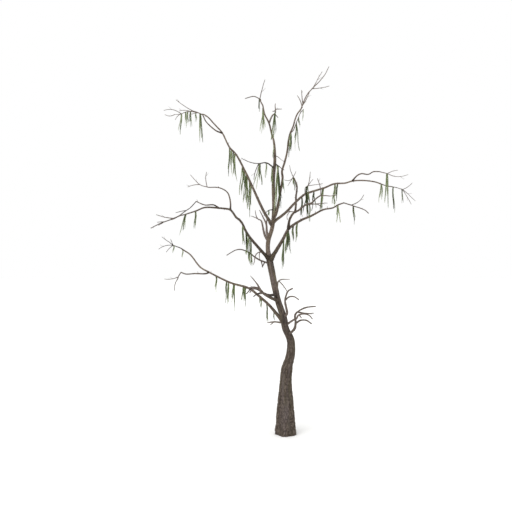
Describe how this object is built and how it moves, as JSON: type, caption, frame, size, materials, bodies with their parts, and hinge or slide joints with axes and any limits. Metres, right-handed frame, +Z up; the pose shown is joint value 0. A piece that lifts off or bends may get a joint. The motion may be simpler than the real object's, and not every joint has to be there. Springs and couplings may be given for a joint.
{
  "type": "dead pond cypress tree",
  "caption": "Whole dead pond cypress with a leaning trunk on a flared foot, bare forking boughs, sprays of dry twigs and hanging grey-green moss, rooted in the ground.",
  "frame": {"origin": "centre of the flat cut under the trunk, at ground level", "axes": "+Z up along the trunk, -Y towards the front view, +X to its right"},
  "size_m": [9.2888, 5.1803, 11.7581],
  "materials": {
    "bark": "matt weathered bark",
    "twigs": "matt dry twigs",
    "moss": "matt hanging moss"
  },
  "bodies": {
    "root": {"bough_front_left": "bark", "bough_long_right": "bark", "bough_long_right_fork": "bark", "bough_low_left": "bark", "bough_low_left_fork": "bark", "bough_middle_left": "bark", "bough_middle_left_rise": "bark", "bough_middle_left_twin": "bark", "bough_middle_right": "bark", "bough_middle_right_back": "bark", "bough_middle_right_rise": "bark", "bough_upper_left": "bark", "bough_upper_left_twin": "bark", "bough_upper_right": "bark", "moss_leader": "moss", "moss_long_right_inner": "moss", "moss_long_right_middle": "moss", "moss_low_left_inner": "moss", "moss_low_left_outer": "moss", "moss_middle_left": "moss", "moss_middle_right": "moss", "moss_middle_right_outer": "moss", "moss_upper_left_lower": "moss", "moss_upper_left_upper": "moss", "moss_upper_right": "moss", "spray_back_left": "twigs", "spray_back_left_inner": "twigs", "spray_fork_link": "twigs", "spray_front_left_tip": "twigs", "spray_front_left_upper": "twigs", "spray_leader_arch": "twigs", "spray_leader_cross": "twigs", "spray_leader_fork": "twigs", "spray_leader_link": "twigs", "spray_leader_tip": "twigs", "spray_left_stub": "twigs", "spray_long_right_fork_tip": "twigs", "spray_long_right_link": "twigs", "spray_long_right_tip": "twigs", "spray_long_right_upright": "twigs", "spray_low_left_fork_tip": "twigs", "spray_low_left_tip": "twigs", "spray_low_right": "twigs", "spray_low_right_back": "twigs", "spray_middle_back": "twigs", "spray_middle_left_rise_tip": "twigs", "spray_middle_left_root": "twigs", "spray_middle_left_tip": "twigs", "spray_middle_left_twin_tip": "twigs", "spray_middle_right_back_tip": "twigs", "spray_middle_right_rise_low": "twigs", "spray_middle_right_rise_tip": "twigs", "spray_middle_right_tip": "twigs", "spray_right_upright": "twigs", "spray_slim_left": "twigs", "spray_upper_left_tip": "twigs", "spray_upper_left_twin_tip": "twigs", "spray_upper_right_side": "twigs", "spray_upper_right_tip": "twigs", "trunk": "bark"}
  },
  "joints": []
}
